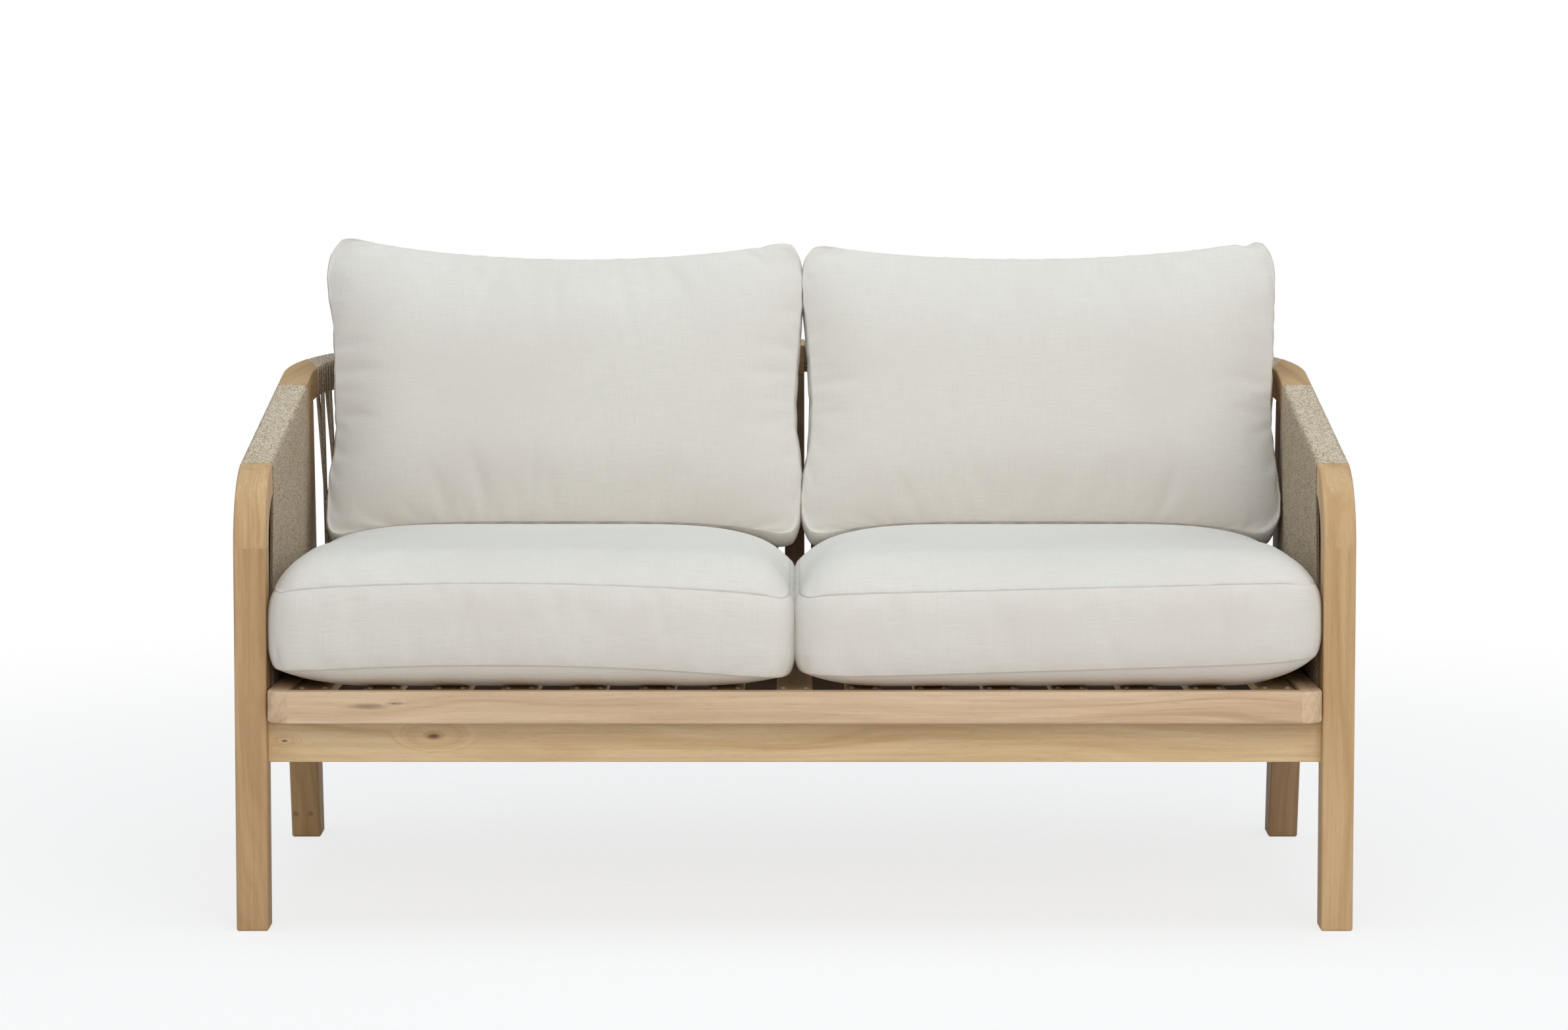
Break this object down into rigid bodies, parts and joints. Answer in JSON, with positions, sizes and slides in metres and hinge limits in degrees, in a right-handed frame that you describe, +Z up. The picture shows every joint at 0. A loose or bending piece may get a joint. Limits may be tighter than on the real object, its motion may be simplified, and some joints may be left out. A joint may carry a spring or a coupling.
{
  "type": "patio loveseat",
  "caption": "Outdoor loveseat with a rounded wooden frame, rope-wound arms and back, a slatted seat, and loose seat and back cushions that lift out.",
  "frame": {"origin": "on the ground under the middle of the bounding box", "axes": "+X along the seat to the right as seen from the front, +Y from front to back, +Z up; the seat faces -Y"},
  "size_m": [1.403, 0.7951, 0.8411],
  "materials": {
    "wood": "acacia, satin outdoor oil",
    "rope": "braided outdoor rope, melange of light tan and brown",
    "cushion_fabric": "woven polyester, off-white",
    "steel": "zinc-plated"
  },
  "bodies": {
    "frame": {"apron_tenons": "wood", "back_lower_rail": "wood", "back_post": "wood", "back_tenons": "wood", "back_top_rail": "wood", "front_apron": "wood", "left_arm_curtain": "rope", "left_arm_rail": "wood", "left_arm_tenons": "wood", "left_arm_winding": "rope", "left_back_rope": "rope", "left_corner_block": "wood", "left_front_elbow": "wood", "left_front_leg": "wood", "left_lower_side_rail": "wood", "left_rear_leg": "wood", "left_seat_side_rail": "wood", "lower_side_tenons": "wood", "rear_apron": "wood", "rear_leg_plugs": "wood", "right_arm_curtain": "rope", "right_arm_rail": "wood", "right_arm_tenons": "wood", "right_arm_winding": "rope", "right_back_rope": "rope", "right_corner_block": "wood", "right_front_elbow": "wood", "right_front_leg": "wood", "right_lower_side_rail": "wood", "right_rear_leg": "wood", "right_seat_side_rail": "wood", "seat_bolts": "steel", "seat_frame_tenons": "wood", "seat_front_cleat": "wood", "seat_front_rail": "wood", "seat_middle_bearer": "wood", "seat_rear_cleat": "wood", "seat_rear_rail": "wood", "seat_slats": "wood", "slat_screws": "steel"},
    "left_seat": {"left_seat_cushion": "cushion_fabric"},
    "right_seat": {"right_seat_cushion": "cushion_fabric"},
    "left_back": {"left_back_cushion": "cushion_fabric"},
    "right_back": {"right_back_cushion": "cushion_fabric"}
  },
  "joints": [
    {"name": "left_seat_cushion_lift", "type": "slide", "parent": "frame", "child": "left_seat", "axis": [0, 0, 1], "range_m": [0, 0.3]},
    {"name": "right_seat_cushion_lift", "type": "slide", "parent": "frame", "child": "right_seat", "axis": [0, 0, 1], "range_m": [0, 0.3]},
    {"name": "left_back_cushion_lift", "type": "slide", "parent": "left_seat", "child": "left_back", "axis": [0, 0, 1], "range_m": [0, 0.25]},
    {"name": "right_back_cushion_lift", "type": "slide", "parent": "right_seat", "child": "right_back", "axis": [0, 0, 1], "range_m": [0, 0.25]}
  ]
}
